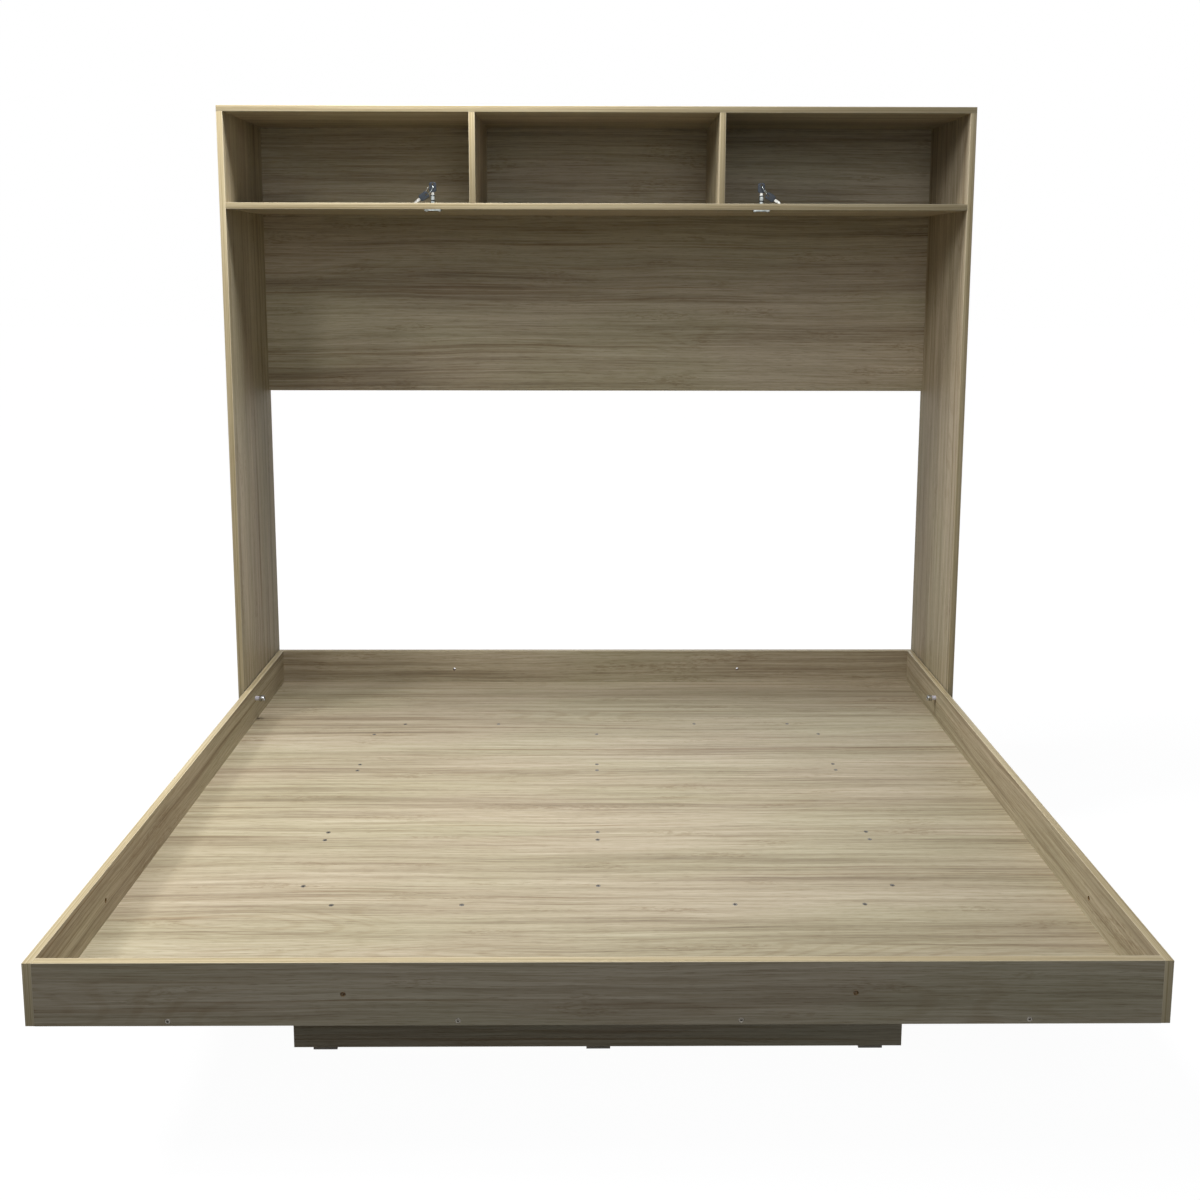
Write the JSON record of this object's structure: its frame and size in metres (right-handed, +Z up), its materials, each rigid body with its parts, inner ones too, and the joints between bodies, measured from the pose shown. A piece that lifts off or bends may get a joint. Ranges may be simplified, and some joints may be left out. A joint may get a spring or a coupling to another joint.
{
  "type": "wall bed",
  "caption": "Side-hinged folding wall bed, shown down: tray with rails and support box, in an open cabinet with divided top shelf and bolt locks with keys.",
  "frame": {"origin": "middle of the bounding box on the floor", "axes": "+X across the width, +Y from the foot rail to the wall, +Z up"},
  "size_m": [1.978, 1.671, 1.98],
  "materials": {
    "laminate": "light oak melamine on chipboard, fine matt grain",
    "edge_strip": "glued edge strip in the same oak print, a little yellower",
    "zinc": "bright zinc plated steel",
    "chrome": "polished chrome",
    "key_steel": "nickel plated key blank with a milled edge",
    "key_plastic": "blue-black moulded plastic, slightly glossy",
    "glide_plastic": "dark brown moulded plastic"
  },
  "bodies": {
    "cabinet": {"left_side_panel": "laminate", "left_divider": "laminate", "right_side_panel": "laminate", "right_divider": "laminate", "top_panel": "laminate", "lock_shelf": "laminate", "back_panel": "laminate", "lower_back_rail": "laminate", "side_panel_bands": "edge_strip", "divider_bands": "edge_strip", "top_panel_band": "edge_strip", "lock_shelf_band": "edge_strip", "back_panel_band": "edge_strip", "lower_back_rail_band": "edge_strip", "cabinet_screws": "zinc", "foot_pads": "glide_plastic", "pivot_screws": "zinc", "pivot_inserts": "zinc", "pivot_spacers": "zinc", "left_lock_housing": "chrome", "right_lock_housing": "chrome", "lock_screws": "zinc"},
    "bed": {"left_side_rail": "laminate", "right_side_rail": "laminate", "foot_rail": "laminate", "head_rail": "laminate", "side_rail_bands": "edge_strip", "cross_rail_bands": "edge_strip", "foot_base_board": "laminate", "middle_base_board": "laminate", "head_base_board": "laminate", "base_screws": "zinc", "rail_corner_screws": "zinc", "rail_edge_screws": "zinc", "support_front_board": "laminate", "support_back_board": "laminate", "support_left_board": "laminate", "support_centre_board": "laminate", "support_right_board": "laminate", "support_bands": "edge_strip", "support_screws": "zinc", "support_glides": "glide_plastic", "pivot_bushes": "zinc"},
    "left_lock_core": {"left_lock_core": "chrome", "left_key_blade": "key_steel", "left_key_head": "key_plastic"},
    "left_lock_bolt": {"left_lock_bolt": "zinc"},
    "left_key_ring": {"left_key_ring": "chrome"},
    "left_spare_key": {"left_spare_key_blade": "key_steel", "left_spare_key_head": "key_plastic"},
    "right_lock_core": {"right_lock_core": "chrome", "right_key_blade": "key_steel", "right_key_head": "key_plastic"},
    "right_lock_bolt": {"right_lock_bolt": "zinc"},
    "right_key_ring": {"right_key_ring": "chrome"},
    "right_spare_key": {"right_spare_key_blade": "key_steel", "right_spare_key_head": "key_plastic"}
  },
  "joints": [
    {"name": "bed_fold", "type": "hinge", "parent": "cabinet", "child": "bed", "pos_m": [0, 0.5005, 0.367], "axis": [-1, 0, 0], "range_deg": [0, 90]},
    {"name": "left_key_turn", "type": "hinge", "parent": "cabinet", "child": "left_lock_core", "pos_m": [-0.433, 0.4795, 1.7533], "axis": [0, 0, 1], "range_deg": [0, 180]},
    {"name": "left_bolt_slide", "type": "slide", "parent": "cabinet", "child": "left_lock_bolt", "axis": [0, 0, -1], "range_m": [0, 0.018]},
    {"name": "left_ring_swing", "type": "hinge", "parent": "left_lock_core", "child": "left_key_ring", "pos_m": [-0.433, 0.4795, 1.7802], "axis": [0, 1, 0], "range_deg": [0, 50]},
    {"name": "left_spare_key_swing", "type": "hinge", "parent": "left_key_ring", "child": "left_spare_key", "pos_m": [-0.45012, 0.4795, 1.75384], "axis": [0, 1, 0], "range_deg": [0, 60]},
    {"name": "right_key_turn", "type": "hinge", "parent": "cabinet", "child": "right_lock_core", "pos_m": [0.433, 0.4795, 1.7533], "axis": [0, 0, -1], "range_deg": [0, 180]},
    {"name": "right_bolt_slide", "type": "slide", "parent": "cabinet", "child": "right_lock_bolt", "axis": [0, 0, -1], "range_m": [0, 0.018]},
    {"name": "right_ring_swing", "type": "hinge", "parent": "right_lock_core", "child": "right_key_ring", "pos_m": [0.433, 0.4795, 1.7802], "axis": [0, -1, 0], "range_deg": [0, 50]},
    {"name": "right_spare_key_swing", "type": "hinge", "parent": "right_key_ring", "child": "right_spare_key", "pos_m": [0.45081, 0.4795, 1.75278], "axis": [0, -1, 0], "range_deg": [0, 60]}
  ],
  "couplings": [
    {"joint": "left_bolt_slide", "follows": "left_key_turn", "m_per_rad": 0.0057296},
    {"joint": "right_bolt_slide", "follows": "right_key_turn", "m_per_rad": 0.0057296}
  ]
}
